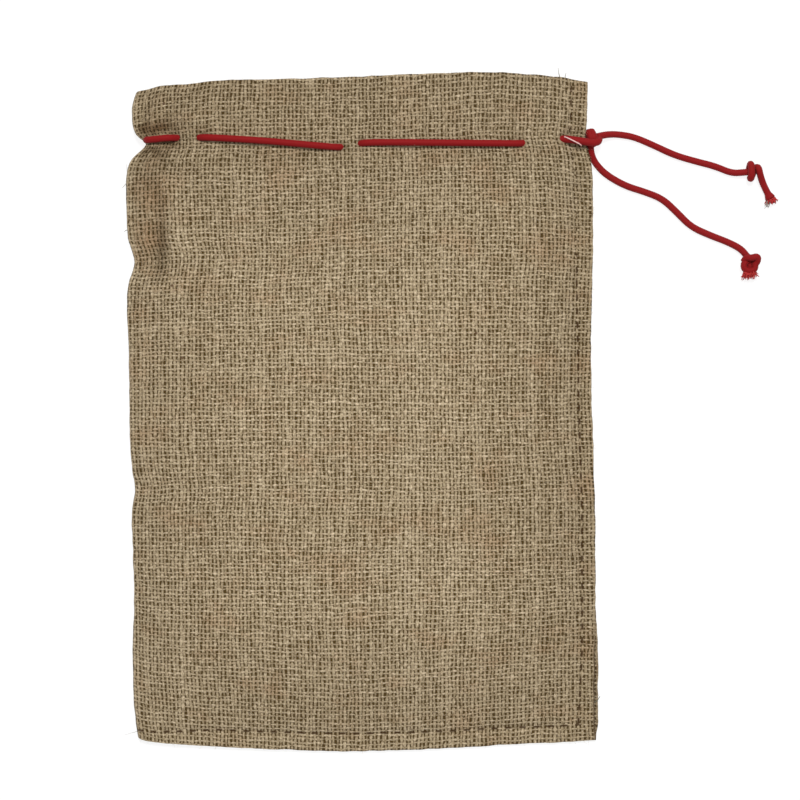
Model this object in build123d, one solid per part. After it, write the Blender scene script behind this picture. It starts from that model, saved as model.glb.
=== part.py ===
from build123d import *

import math
import os
from bisect import bisect_right

# Drawstring gift pouch of woven jute, lying flat and empty, with a red drawcord, in millimetres.
#
# The cloth is one blank, folded at the left edge, turned in at the mouth and sewn along the right
# side and the bottom. The cord runs round the neck, in and out of both faces, and leaves at the
# right edge in a knot with two tails. X is the width, +Y points to the mouth and Z = 0 is the
# surface that the pouch lies on. The origin is under the middle of the cloth.

# Driving dimensions
CLOTH = 0.8  # one layer of cloth
CORD = 3.5  # diameter of the drawcord
CORD_GAP = 0.35  # clear space between the cord and the cloth
STITCH_PITCH = 7.2
STITCH_LENGTH = 4.6
THREAD = 0.7  # diameter of the sewing thread
BOTTOM_SEAM_END = 112.0  # the bottom row of stitches ends this far to each side
SEAM_IN = 8.0  # from the edge to the row of stitches
ALLOWANCE = 12.0  # width of the turned-in seam allowance
HEM_LOW = 131.0  # where the hem turned in at the mouth ends
TACK = 0.7  # diameter of the pale tack thread
HINGE_GAP = 0.2  # between the round end of a tail's root and the tail

CORD_R = CORD / 2
SEAM_STACK = 4 * CLOTH  # two faces and two allowances
NECK_LIFT = CORD + CORD_GAP + 0.1  # the cord passes under the cloth at the neck
NECK_TOP = 11.75
ON_TOP = NECK_TOP + CORD_R + CORD_GAP + 0.1
INSIDE_FRONT = NECK_TOP - 2 * CLOTH - CORD_R - CORD_GAP - 0.1
INSIDE_BACK = NECK_LIFT + 2 * CLOTH + CORD_R + CORD_GAP + 0.1
ON_FLOOR = CORD_R

# Stations along the pouch: y, left edge, right edge, lift of the back face, top of the front
# face, radius of the left fold, widths of the slopes at the left and at the right
STATIONS = [
    (-180.0, -117.5, 122.6, 0.0, 3.6, 1.6, 30.0, 30.0),
    (-168.5, -119.6, 123.0, 0.0, 3.9, 1.6, 30.0, 30.0),
    (-150.0, -120.2, 123.4, 0.0, 8.2, 2.4, 34.0, 30.0),
    (-105.0, -119.2, 123.4, 0.0, 11.2, 2.4, 36.0, 32.0),
    (-40.0, -119.0, 122.8, 0.0, 11.4, 2.4, 36.0, 32.0),
    (60.0, -122.8, 121.2, 0.0, 11.6, 2.4, 34.0, 30.0),
    (108.0, -123.6, 121.4, 0.0, NECK_TOP, 2.4, 28.0, 26.0),
    (129.0, -121.6, 119.8, NECK_LIFT, NECK_TOP, 2.4, 14.0, 8.0),
    (140.0, -111.0, 117.0, NECK_LIFT, NECK_TOP, 2.4, 10.0, 5.0),
    (151.0, -117.6, 117.6, NECK_LIFT, NECK_TOP, 2.4, 14.0, 8.0),
    (180.0, -120.2, 118.4, 1.2, 11.5, 2.4, 22.0, 20.0),
]
Y, LEFT, RIGHT, LIFT, CROWN, FOLD, SLOPE_L, SLOPE_R = range(8)

# Ends of the cloth: left corner, lowest or highest point, right corner
BOTTOM_EDGE = [(-130.0, -168.4), (0.0, -176.4), (130.0, -169.8)]
MOUTH_EDGE = [(-130.0, 166.6), (30.0, 175.4), (130.0, 172.8)]

# The cord round the neck, from the knot over the front face to the left fold
FRONT_RUN = [
    (121.2, 142.0, 7.6),
    (116.0, 140.7, 9.7),
    (109.6, 141.4, 9.8),
    (103.2, 142.2, INSIDE_FRONT),
    (93.6, 141.6, INSIDE_FRONT),
    (84.6, 139.9, INSIDE_FRONT + 1.4),
    (78.0, 139.2, ON_TOP),
    (38.0, 139.6, ON_TOP),
    (2.6, 139.9, ON_TOP),
    (-3.6, 139.4, INSIDE_FRONT),
    (-9.0, 138.0, INSIDE_FRONT),
    (-14.8, 137.2, ON_TOP),
    (-50.0, 140.6, ON_TOP),
    (-81.6, 142.6, ON_TOP),
    (-88.0, 143.0, INSIDE_FRONT),
    (-93.6, 142.6, INSIDE_FRONT),
    (-99.2, 142.2, ON_TOP - 0.4),
    (-107.6, 141.8, 12.3),
    (-113.6, 141.1, 9.0),
]
# and from there under the back face to the knot again
BACK_RUN = [
    (-113.8, 140.2, 4.2),
    (-108.6, 139.2, ON_FLOOR),
    (-100.4, 137.9, ON_FLOOR),
    (-94.2, 136.9, INSIDE_BACK),
    (-88.6, 136.2, INSIDE_BACK),
    (-82.4, 135.4, ON_FLOOR),
    (-48.0, 133.4, ON_FLOOR),
    (-15.0, 133.6, ON_FLOOR),
    (-8.8, 133.9, INSIDE_BACK),
    (-3.2, 134.2, INSIDE_BACK),
    (3.0, 134.5, ON_FLOOR),
    (42.0, 135.8, ON_FLOOR),
    (80.6, 135.6, ON_FLOOR),
    (87.0, 135.8, INSIDE_BACK),
    (93.0, 136.2, INSIDE_BACK),
    (99.4, 136.8, ON_FLOOR),
    (112.6, 138.9, ON_FLOOR),
    (120.4, 141.0, 3.4),
]

KNOT = (121.4, 142.6, 5.4)
KNOT_HALF = (3.6, 5.4, 4.7)

# The tails lie on the same surface, each with a short root that stays with the knot. The last
# point of a root is where the tail hinges.
UPPER_ROOT = [(122.4, 144.4, 5.0), (127.2, 145.4, 3.2), (132.6, 145.4, ON_FLOOR)]
UPPER_TAIL = [
    (141.4, 144.0, ON_FLOOR),
    (151.6, 139.6, ON_FLOOR),
    (162.6, 134.4, ON_FLOOR),
    (173.6, 131.2, ON_FLOOR),
    (184.0, 128.6, ON_FLOOR),
    (192.4, 125.0, ON_FLOOR),
    (201.0, 125.6, ON_FLOOR + 0.8),
]
UPPER_KNOT = (203.9, 125.8, 4.1)
UPPER_KNOT_HALF = (3.7, 5.2, 4.1)
UPPER_END = [(206.2, 124.0, 3.4), (209.5, 117.9, 2.1), (212.6, 111.8, ON_FLOOR + 0.6)]
UPPER_FRAY = 4.0  # length of the frayed end

LOWER_ROOT = [(120.0, 139.4, 5.0), (119.9, 134.4, 3.2), (122.4, 129.2, ON_FLOOR)]
LOWER_TAIL = [
    (128.6, 123.4, ON_FLOOR),
    (137.4, 118.2, ON_FLOOR),
    (147.2, 115.2, ON_FLOOR),
    (156.4, 111.6, ON_FLOOR),
    (163.8, 104.6, ON_FLOOR),
    (171.2, 97.0, ON_FLOOR),
    (181.0, 92.6, ON_FLOOR),
    (190.8, 88.9, ON_FLOOR),
    (198.2, 85.0, ON_FLOOR),
    (201.8, 79.4, ON_FLOOR + 0.8),
]
LOWER_KNOT = (201.9, 77.2, 4.4)
LOWER_KNOT_HALF = (4.8, 5.2, 4.4)
LOWER_FRAY = [(201.8, 73.2, 3.3), (201.5, 69.6, 3.2)]


def at(y, column):
    """The value of one station column at y, straight between stations."""
    ys = [s[Y] for s in STATIONS]
    i = min(max(bisect_right(ys, y) - 1, 0), len(ys) - 2)
    low, high = STATIONS[i], STATIONS[i + 1]
    share = (y - low[Y]) / (high[Y] - low[Y])
    return low[column] + share * (high[column] - low[column])


# Cloth


def front_section(s):
    """The front face and the left fold cut at one station, as a face across the pouch."""
    y, left, right, lift, top, fold, slope_l, slope_r = s
    inner_fold = fold - CLOTH
    seam_top = lift + SEAM_STACK
    outer = [
        (left + fold, lift + 2 * fold),
        (left + slope_l, top),
        (right - SEAM_IN - slope_r, top),
        (right - SEAM_IN, seam_top),
        (right, seam_top),
    ]
    inner = [(x, z - CLOTH) for x, z in reversed(outer)]
    plane = Plane(origin=(0, y, 0), x_dir=(1, 0, 0), z_dir=(0, -1, 0))
    with BuildSketch(plane) as sketch:
        with BuildLine():
            Polyline(*outer)
            Line(outer[-1], inner[0])
            Polyline(*inner)
            ThreePointArc(
                inner[-1],
                (left + fold - inner_fold, lift + fold),
                (left + fold, lift + CLOTH),
            )
            Line((left + fold, lift + CLOTH), (left + fold, lift))
            ThreePointArc((left + fold, lift), (left, lift + fold), outer[0])
        make_face()
    return sketch.sketch


def between_edges(low=-8.0, high=24.0):
    """The block of everything between the bottom edge and the mouth edge."""
    with BuildPart() as block:
        with BuildSketch(Plane.XY.offset(low)):
            with BuildLine():
                ThreePointArc(*BOTTOM_EDGE)
                Line(BOTTOM_EDGE[-1], MOUTH_EDGE[-1])
                ThreePointArc(*reversed(MOUTH_EDGE))
                Line(MOUTH_EDGE[0], BOTTOM_EDGE[0])
            make_face()
        extrude(amount=high - low)
    return block.part


def layer(column, above, y_low=STATIONS[0][Y]):
    """A layer of cloth that follows a station column along Y, above it, over the full width."""
    ys = [y_low] + [s[Y] for s in STATIONS if s[Y] > y_low]
    lower = [(y, at(y, column) + above) for y in ys]
    upper = [(y, z + CLOTH) for y, z in reversed(lower)]
    plane = Plane(origin=(-130, 0, 0), x_dir=(0, 1, 0), z_dir=(1, 0, 0))
    with BuildPart() as sheet:
        with BuildSketch(plane):
            with BuildLine():
                Polyline(*lower, *upper, close=True)
            make_face()
        extrude(amount=260)
    return sheet.part


def strip(left_of, right_of, y_low=STATIONS[0][Y]):
    """A block between two lines that follow the stations, given as functions of y."""
    ys = [y_low] + [s[Y] for s in STATIONS if s[Y] > y_low]
    left = [(left_of(y), y) for y in ys]
    right = [(right_of(y), y) for y in reversed(ys)]
    with BuildPart() as block:
        with BuildSketch(Plane.XY.offset(-8)):
            with BuildLine():
                Polyline(*left, *right, close=True)
            make_face()
        extrude(amount=32)
    return block.part


def front_panel():
    pieces = [
        loft([front_section(a), front_section(b)], ruled=True)
        for a, b in zip(STATIONS, STATIONS[1:])
    ]
    return Part() + pieces


def back_panel():
    inside = strip(lambda y: at(y, LEFT) + at(y, FOLD), lambda y: at(y, RIGHT))
    return layer(LIFT, 0) & inside


def hem(column, above, margin):
    """The edge of the cloth turned in at the mouth, lying inside one face."""
    inside = strip(
        lambda y: at(y, LEFT) + at(y, SLOPE_L) + margin,
        lambda y: at(y, RIGHT) - SEAM_IN - at(y, SLOPE_R) - margin,
        HEM_LOW,
    )
    return layer(column, above, HEM_LOW) & inside


def side_allowance(above):
    inside = strip(
        lambda y: at(y, RIGHT) - ALLOWANCE + SEAM_IN / 2,
        lambda y: at(y, RIGHT) - 0.1,
        BOTTOM_EDGE[1][1] + 2 * ALLOWANCE,
    )
    return layer(LIFT, above, BOTTOM_EDGE[1][1] + 2 * ALLOWANCE) & inside


def bottom_allowance(above):
    y_top = BOTTOM_EDGE[1][1] + ALLOWANCE - SEAM_IN / 2
    inside = strip(lambda y: at(y, LEFT) + at(y, FOLD) + 0.4, lambda y: at(y, RIGHT) - 0.1)
    below = Pos(0, y_top - 20, 0) * Box(400, 40, 60)
    return layer(LIFT, above) & inside & below


# Thread


def rod(p, q, diameter):
    """A straight round rod from p to q."""
    p, q = Vector(*p), Vector(*q)
    along = q - p
    return Plane(origin=(p + q) / 2, z_dir=along) * Cylinder(diameter / 2, along.length)


def stitches(line, count):
    """A row of separate stitches; line(share) is the seam's point at a share of its length."""
    share = STITCH_LENGTH / STITCH_PITCH
    rods = [rod(line(i / count), line((i + share) / count), THREAD) for i in range(count)]
    return Compound(children=rods)


def side_seam(height):
    low, high = BOTTOM_EDGE[1][1] + 12.0, MOUTH_EDGE[2][1] - 3.0

    def line(share):
        y = low + share * (high - low)
        return (at(y, RIGHT) - SEAM_IN, y, at(y, LIFT) + height)

    return stitches(line, round((high - low) / STITCH_PITCH))


def bottom_seam(height):
    y = BOTTOM_EDGE[1][1] + SEAM_IN + 0.5

    def line(share):
        return (-BOTTOM_SEAM_END + share * 2 * BOTTOM_SEAM_END, y, height)

    return stitches(line, round(2 * BOTTOM_SEAM_END / STITCH_PITCH))


# Cord


def turn_radii(points):
    """The radius of the arc at each corner: 0.45 of the shorter run over tan of half the turn."""
    radii = []
    for a, b, c in zip(points, points[1:], points[2:]):
        before, after = Vector(*b) - Vector(*a), Vector(*c) - Vector(*b)
        shorter = min(before.length, after.length)
        turn = math.radians(before.get_angle(after))
        radii.append(0.45 * shorter / math.tan(turn / 2))
    return radii


def tube(points, diameter, radii=None):
    """A round tube along straight runs joined by tangent arcs."""
    radii = radii or turn_radii(points)
    path = FilletPolyline(*points, radius=radii)
    start = Plane(origin=path @ 0, z_dir=path % 0)
    body = sweep(start * Circle(diameter / 2), path=path)
    expected = math.pi * diameter**2 / 4 * path.length
    print(f"  length {path.length:.1f} radii {[round(r, 1) for r in radii]}"
          f" volume/expected {body.volume / expected:.4f}")
    return body


def oval(centre, half):
    """A knot's plain outer shape: a ball stretched to three half widths."""
    return Pos(*centre) * scale(Sphere(1), by=half)


def tail_parts(root, tail):
    """The root that stays with the knot, ending in a ball at the hinge, and the tail beyond it."""
    hinge = Vector(*root[-1])
    start = hinge + (Vector(*tail[0]) - hinge).normalized() * (CORD_R + HINGE_GAP)
    root_tube = tube(root, CORD) + Pos(hinge) * Sphere(CORD_R)
    tail_tube = tube([tuple(start)] + tail, CORD)
    return root_tube, tail_tube


def fray(p, q, start, end):
    """A short flaring tuft from p to q."""
    p, q = Vector(*p), Vector(*q)
    along = q - p
    return Plane(origin=(p + q) / 2, z_dir=along) * Cone(start, end, along.length)


def write(parts):
    os.makedirs("parts", exist_ok=True)
    for name, shape in parts.items():
        export_step(shape, f"parts/{name}.step")


def main():
    whole = between_edges()
    neck_route = FRONT_RUN + BACK_RUN
    neck_radii = turn_radii(neck_route)
    print("neck cord")
    neck_cord = tube(neck_route, CORD, neck_radii)
    clearance = tube(neck_route, CORD + 2 * CORD_GAP, neck_radii)
    print("upper tail")
    upper_root, upper_tail = tail_parts(UPPER_ROOT, UPPER_TAIL)
    print("lower tail")
    lower_root, lower_tail = tail_parts(LOWER_ROOT, LOWER_TAIL)
    upper_end = tube(UPPER_END, CORD)
    end_way = (Vector(*UPPER_END[-1]) - Vector(*UPPER_END[-2])).normalized()
    fray_end = Vector(*UPPER_END[-1]) + Vector(end_way.X, end_way.Y, 0.0) * UPPER_FRAY

    cloth = {
        "front_panel": front_panel(),
        "back_panel": back_panel(),
        "front_hem": hem(CROWN, -2 * CLOTH, 1.0),
        "back_hem": hem(LIFT, CLOTH, -4.0),
        "side_allowance_front": side_allowance(2 * CLOTH),
        "side_allowance_back": side_allowance(CLOTH),
        "bottom_allowance_front": bottom_allowance(2 * CLOTH),
        "bottom_allowance_back": bottom_allowance(CLOTH),
    }
    parts = {name: (sheet & whole) - clearance for name, sheet in cloth.items()}
    parts |= {
        "side_seam_needle_thread": side_seam(SEAM_STACK + 0.05),
        "side_seam_bobbin_thread": side_seam(THREAD / 2),
        "bottom_seam_needle_thread": bottom_seam(SEAM_STACK + 0.05),
        "bottom_seam_bobbin_thread": bottom_seam(THREAD / 2),
        "neck_cord": neck_cord,
        "neck_knot": oval(KNOT, KNOT_HALF),
        "tack_thread": rod((104.9, 143.1, 11.95), (112.9, 138.9, 11.95), TACK),
        "upper_tail_root": upper_root,
        "upper_tail_cord": upper_tail,
        "upper_end_knot": oval(UPPER_KNOT, UPPER_KNOT_HALF),
        "upper_cord_end": upper_end,
        "upper_end_fray": fray(UPPER_END[-1], tuple(fray_end), CORD_R, CORD_R + 0.5),
        "lower_tail_root": lower_root,
        "lower_tail_cord": lower_tail,
        "lower_end_knot": oval(LOWER_KNOT, LOWER_KNOT_HALF),
        "lower_end_fray": fray(*LOWER_FRAY, CORD_R + 0.3, CORD_R + 1.2),
    }
    write(parts)


main()
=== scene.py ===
import math
import random

import bmesh
import bpy
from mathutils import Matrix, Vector, noise


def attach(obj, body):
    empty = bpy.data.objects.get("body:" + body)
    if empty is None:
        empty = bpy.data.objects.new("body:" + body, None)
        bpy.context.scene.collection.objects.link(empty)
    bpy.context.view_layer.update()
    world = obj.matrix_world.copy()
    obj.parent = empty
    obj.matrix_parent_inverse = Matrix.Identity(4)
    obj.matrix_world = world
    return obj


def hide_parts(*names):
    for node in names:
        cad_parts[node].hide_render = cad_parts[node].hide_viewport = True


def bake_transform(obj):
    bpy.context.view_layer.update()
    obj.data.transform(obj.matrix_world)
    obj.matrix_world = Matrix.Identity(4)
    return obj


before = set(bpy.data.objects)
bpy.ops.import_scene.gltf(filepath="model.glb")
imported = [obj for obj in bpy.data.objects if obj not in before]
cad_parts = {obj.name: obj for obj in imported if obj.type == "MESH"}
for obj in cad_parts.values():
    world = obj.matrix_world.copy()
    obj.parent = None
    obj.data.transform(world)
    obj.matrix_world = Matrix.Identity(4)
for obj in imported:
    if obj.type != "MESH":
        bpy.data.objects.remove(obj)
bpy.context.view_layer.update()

# Red drawstring pouch of jute hessian, lying flat. Lengths are in metres, in the frame of the
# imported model: X across the pouch, Y towards its mouth, Z up from the surface it lies on.

mm = 0.001
cordRadius = 1.75 * mm


def inMetres(points):
    return [Vector(p) * mm for p in points]


def level(x):
    return min(max(x, 0.0), 1.0)


def smooth(t):
    t = level(t)
    return t * t * (3 - 2 * t)


def ease(t):                                        # steep at 0, level at 1
    t = level(t)
    return t * (2 - t)


def hump(x, width):                                 # 1 at 0, gone by twice the width
    return math.exp(-((x / width) ** 2))


def through(points):
    # a smooth line through given points, as a function of their first number
    def value(x):
        i = 0
        while i < len(points) - 2 and x > points[i + 1][0]:
            i += 1
        (x1, y1), (x2, y2) = points[i], points[i + 1]
        x0, y0 = points[max(i - 1, 0)]
        x3, y3 = points[min(i + 2, len(points) - 1)]
        t = level((x - x1) / (x2 - x1))
        slopeIn, slopeOut = (y2 - y0) / (x2 - x0), (y3 - y1) / (x3 - x1)
        bend = t * (1 - t) * (x2 - x1) * ((1 - t) * slopeIn - t * slopeOut)
        return y1 + (y2 - y1) * smooth(t) + bend

    return value


def addObject(name, data):
    piece = bpy.data.objects.new(name, data)
    bpy.context.scene.collection.objects.link(piece)
    return piece


def finishMesh(name, bm):
    mesh = bpy.data.meshes.new(name)
    bm.to_mesh(mesh)
    bm.free()
    mesh.polygons.foreach_set("use_smooth", [True] * len(mesh.polygons))
    return addObject(name, mesh)


# Camera

cameraSetup = {"lens": 100.0, "x": 19.2 * mm, "y": 6.5 * mm, "height": 1163 * mm}


def makeCamera(setup):
    data = bpy.data.cameras.new("camera")
    data.lens = setup["lens"]
    data.clip_start, data.clip_end = 0.05, 20
    cam = addObject("camera", data)                 # unturned, a camera looks straight down
    cam.location = (setup["x"], setup["y"], setup["height"])
    bpy.context.scene.camera = cam


makeCamera(cameraSetup)

# Drawcord: the routes are those of the CAD model's tubes, in and out of the cloth

frontRun = inMetres([
    (103.2, 142.2, 7.95), (93.6, 141.6, 7.95), (84.6, 139.9, 9.35), (78.0, 139.2, 13.9),
    (38.0, 139.6, 13.9), (2.6, 139.9, 13.9), (-3.6, 139.4, 7.95), (-9.0, 138.0, 7.95),
    (-14.8, 137.2, 13.9), (-50.0, 140.6, 13.9), (-80.4, 142.4, 13.9), (-86.6, 142.8, 7.95),
    (-94.8, 142.6, 7.95), (-100.4, 142.2, 13.5), (-107.0, 141.6, 12.6), (-112.6, 141.4, 10.2),
])
backRun = inMetres([
    (-113.0, 142.2, 3.8), (-107.4, 141.8, 1.75), (-100.4, 139.6, 1.75), (-94.2, 137.6, 7.75),
    (-88.6, 136.4, 7.75), (-82.4, 135.4, 1.75), (-48.0, 133.4, 1.75), (-15.0, 133.6, 1.75),
    (-8.8, 133.9, 7.75), (-3.2, 134.2, 7.75), (3.0, 134.5, 1.75), (42.0, 135.8, 1.75),
    (80.6, 135.6, 1.75), (87.0, 135.8, 7.75), (93.0, 136.2, 7.75),
])
frontLead = inMetres([
    (96.0, 141.8, 7.4), (102.4, 142.2, 8.3), (107.6, 141.7, 10.4), (114.8, 140.6, 10.2),
    (119.6, 139.9, 9.4), (122.6, 140.9, 7.9), (122.6, 143.2, 5.4), (119.8, 144.4, 3.2),
])
backLead = inMetres([
    (87.0, 135.8, 7.75), (93.0, 136.2, 7.75), (99.4, 136.8, 1.75), (112.6, 138.9, 1.75),
    (118.0, 140.2, 2.4), (120.2, 142.6, 3.6), (118.6, 145.0, 4.4),
])
upperTail = inMetres([
    (121.8, 143.6, 6.4), (124.4, 144.4, 4.6), (128.4, 145.2, 2.9), (133.2, 145.3, 1.75),
    (141.4, 144.0, 1.75), (151.6, 139.6, 1.75), (162.6, 134.4, 1.75), (173.6, 131.2, 1.75),
    (184.0, 128.6, 1.75), (192.4, 125.0, 1.75), (199.0, 125.3, 2.9), (204.0, 125.8, 3.8),
])
upperStub = inMetres([
    (204.2, 125.0, 2.7), (204.9, 128.2, 3.4), (205.9, 127.4, 6.2), (206.6, 124.6, 5.6),
    (208.2, 120.6, 3.0), (210.4, 116.0, 2.3), (212.6, 111.8, 2.3),
])
lowerTail = inMetres([
    (118.8, 142.4, 6.2), (118.4, 139.4, 5.6), (118.9, 134.6, 3.6), (121.4, 129.8, 1.9),
    (127.0, 124.0, 1.75), (137.0, 118.3, 1.75), (147.2, 115.2, 1.75), (156.4, 111.6, 1.75),
    (163.8, 104.6, 1.75), (171.2, 97.0, 1.75), (181.0, 92.6, 1.75), (190.8, 88.9, 1.75),
    (197.4, 85.4, 1.9), (200.4, 81.6, 2.4), (203.0, 78.6, 2.4), (202.4, 74.6, 2.2),
])
upperTurns = inMetres([
    (201.8, 127.4, 1.8), (201.9, 129.6, 3.2), (202.1, 129.2, 5.8), (202.2, 126.8, 6.4),
    (202.2, 124.4, 6.4), (202.1, 122.2, 5.6), (202.0, 122.1, 3.0), (203.2, 124.0, 1.9),
    (204.2, 127.0, 2.4),
])
lowerTurns = inMetres([
    (198.6, 79.0, 3.4), (199.4, 80.8, 5.0), (202.2, 80.4, 6.6), (205.4, 81.4, 6.8),
    (205.6, 78.8, 5.0), (204.2, 77.2, 4.4), (204.4, 74.8, 4.2), (201.6, 73.6, 4.2),
    (198.6, 74.8, 4.2), (198.4, 77.8, 4.6), (200.8, 79.4, 3.2), (202.2, 77.8, 2.2),
    (202.0, 73.4, 2.4),
])


def routeLine(points):
    # one open NURBS spline through the route, read back as a chain of points
    curve = bpy.data.curves.new("route", "CURVE")
    curve.dimensions = "3D"
    curve.resolution_u = 24
    spline = curve.splines.new("NURBS")
    spline.points.add(len(points) - 1)
    for point, place in zip(spline.points, points):
        point.co = (*place, 1)
    spline.order_u = 3
    spline.use_endpoint_u = True
    spline.resolution_u = 24
    holder = bpy.data.objects.new("route", curve)
    mesh = bpy.data.meshes.new_from_object(holder)
    line = [v.co.copy() for v in mesh.vertices]
    bpy.data.objects.remove(holder)
    bpy.data.meshes.remove(mesh)
    bpy.data.curves.remove(curve)
    return line


def lengthOf(line):
    return sum((b - a).length for a, b in zip(line, line[1:]))


def evenly(line, step):
    # the same line, with points an even step apart
    total = lengthOf(line)
    count = max(round(total / step), 2)
    result, walked, i = [line[0]], 0.0, 0
    for n in range(1, count):
        target = total * n / count
        while walked + (line[i + 1] - line[i]).length < target:
            walked += (line[i + 1] - line[i]).length
            i += 1
        part = (target - walked) / (line[i + 1] - line[i]).length
        result.append(line[i].lerp(line[i + 1], part))
    return result + [line[-1]]


def addTube(bm, chain, sides, sizeAt):
    # a closed round tube along the chain; its UV map holds metres along and turns around
    uv = bm.loops.layers.uv.verify()
    last, total = len(chain) - 1, lengthOf(chain)
    verts = bmesh.ops.create_grid(bm, x_segments=last, y_segments=sides, size=0.5)["verts"]
    for face in {f for v in verts for f in v.link_faces}:
        for loop in face.loops:
            grid = loop.vert.co
            loop[uv].uv = ((grid.x + 0.5) * total, grid.y + 0.5)
    frames, side = [], None
    for n, centre in enumerate(chain):
        ahead = (chain[min(n + 1, last)] - chain[max(n - 1, 0)]).normalized()
        side = side or ahead.orthogonal()
        side = (side - ahead * side.dot(ahead)).normalized()
        frames.append((centre, side, ahead.cross(side)))
    for vert in verts:
        n, turn = round((vert.co.x + 0.5) * last), vert.co.y + 0.5
        centre, side, up = frames[n]
        out = side * math.cos(turn * 2 * math.pi) + up * math.sin(turn * 2 * math.pi)
        vert.co = centre + out * sizeAt(total * n / last, turn % 1.0)
    bmesh.ops.remove_doubles(bm, verts=verts, dist=1e-7)
    alive = [v for v in verts if v.is_valid]
    rims = [e for e in {e for v in alive for e in v.link_edges} if e.is_boundary]
    bmesh.ops.holes_fill(bm, edges=rims, sides=0)
    bmesh.ops.recalc_face_normals(bm, faces=list({f for v in alive for f in v.link_faces}))


def addThin(bm, chain, sides, sizeAt):
    # made in a mesh of its own first, because operators slow down as a mesh grows
    small = bmesh.new()
    addTube(small, chain, sides, sizeAt)
    mesh = bpy.data.meshes.new("thin")
    small.to_mesh(mesh)
    small.free()
    bm.from_mesh(mesh)
    bpy.data.meshes.remove(mesh)


cordMake = {
    "step": 0.5 * mm,            # between rings of the tube
    "sides": 20,
    "uneven": 0.06 * mm,         # how far the thickness wanders
    "relief": 0.10 * mm,         # depth of the braid
    "lay": 5.2 * mm,             # length of cord in which a strand goes once round
    "strands": 6,                # winding each way
    "floor": 0.02 * mm,          # it is flat where it rests on the surface
}


def sweepCord(name, line, seed, shrink=1.0, flare=0.0, setup=cordMake):
    total = lengthOf(line)

    def size(along, turn):
        wander = noise.noise((along / (7 * mm), seed * 3.7, 0.0)) * setup["uneven"]
        wind = along / setup["lay"]
        lean = math.cos(setup["strands"] * math.pi * (turn + wind))
        cross = math.cos(setup["strands"] * math.pi * (turn - wind))
        flared = 1 + flare * smooth(1 - (total - along) / (3.5 * mm))
        return cordRadius * shrink * flared + wander + setup["relief"] * lean * cross

    bm = bmesh.new()
    addTube(bm, evenly(line, setup["step"]), setup["sides"], size)
    for vert in bm.verts:
        vert.co.z = max(vert.co.z, setup["floor"])
    return finishMesh(name, bm)


def windings(centre, axis, turns, wide, high, pitch, start):
    # a coil of cord round a level axis, for the wraps of a knot
    axis = Vector(axis).normalized()
    across = Vector((-axis.y, axis.x, 0.0))
    count = round(turns * 14)
    points = []
    for n in range(count + 1):
        turn = n / count * turns
        angle = start + turn * 2 * math.pi
        shift = axis * (turn - turns / 2) * pitch
        ring = across * wide * math.cos(angle) + Vector((0, 0, high * math.sin(angle)))
        points.append(Vector(centre) + shift + ring)
    return points


print("cord")
upperLine = routeLine(upperTail)
lowerLine = routeLine(lowerTail)
neckCord = sweepCord("neck_cord_run", routeLine(frontRun + backRun), 1)
frontLeadCord = sweepCord("neck_cord_front_lead", routeLine(frontLead), 2, 1.1)
backLeadCord = sweepCord("neck_cord_back_lead", routeLine(backLead), 3)
neckWraps = windings(Vector((119.0, 143.0, 4.9)) * mm, (1, 0.25, 0), turns=1.55, wide=3.0 * mm,
                     high=2.5 * mm, pitch=1.3 * mm, start=-1.2)
neckKnot = sweepCord("neck_knot_wraps", routeLine(neckWraps), 4, 1.2)
upperCord = sweepCord("upper_tail", upperLine, 5)
lowerCord = sweepCord("lower_tail", lowerLine, 6)
stubCord = sweepCord("upper_cord_end_stub", routeLine(upperStub), 7, flare=0.55)
upperKnot = sweepCord("upper_knot_turns", routeLine(upperTurns), 8, 1.06)
lowerKnot = sweepCord("lower_knot_turns", routeLine(lowerTurns), 9, 0.98)


def strayFibres(bm, root, aim, count, length, spread, thin, draw, bunch):
    # fibres that leave the root and fan out, kept off the surface
    for _ in range(count):
        start = root + Vector([draw.uniform(-1, 1) * size for size in (bunch, 1.0, 1.2)]) * mm
        way = (aim + Vector([draw.uniform(-spread, spread) for _ in range(3)])).normalized()
        curl = Vector([draw.uniform(-1, 1) for _ in range(3)]) * 0.35
        far = length * draw.uniform(0.55, 1.0)
        chain = [start + (way * t + curl * t * t) * far for t in (0.0, 0.35, 0.7, 1.0)]
        for point in chain:
            point.z = max(point.z, 0.25 * mm)
        addThin(bm, chain, 5, lambda along, turn: thin * (1.2 - along / far * 0.6))


frays = {
    "upper_fray": {
        "root": (212.9, 111.9, 2.4), "aim": (0.25, -1, -0.05), "count": 90, "length": 2.6,
        "spread": 0.6, "thin": 0.42, "seed": 11, "bunch": 2.0},
    "upper_core_fibres": {
        "root": (211.8, 110.6, 1.9), "aim": (-0.22, -1, -0.1), "count": 26, "length": 3.4,
        "spread": 0.34, "thin": 0.20, "seed": 13, "bunch": 1.2},
    "lower_fray": {
        "root": (201.4, 73.9, 4.0), "aim": (-0.02, -1, -0.3), "count": 150, "length": 4.0,
        "spread": 0.62, "thin": 0.36, "seed": 12, "bunch": 2.6},
    "lower_core_fibres": {
        "root": (203.4, 72.6, 2.6), "aim": (0.5, -1, -0.1), "count": 10, "length": 3.2,
        "spread": 0.5, "thin": 0.13, "seed": 14, "bunch": 1.2},
}


def frayedEnd(name):
    setup = frays[name]
    bm = bmesh.new()
    strayFibres(bm, Vector(setup["root"]) * mm, Vector(setup["aim"]).normalized(), setup["count"],
                setup["length"] * mm, setup["spread"], setup["thin"] * mm,
                random.Random(setup["seed"]), setup["bunch"])
    return finishMesh(name, bm)


upperFray = frayedEnd("upper_fray")
upperCore = frayedEnd("upper_core_fibres")
lowerFray = frayedEnd("lower_fray")
lowerCore = frayedEnd("lower_core_fibres")

# Cloth: one blank, folded at the left, turned in at the mouth, the right side and the bottom.
# It is shaped in millimetres and scaled at the end.

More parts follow.
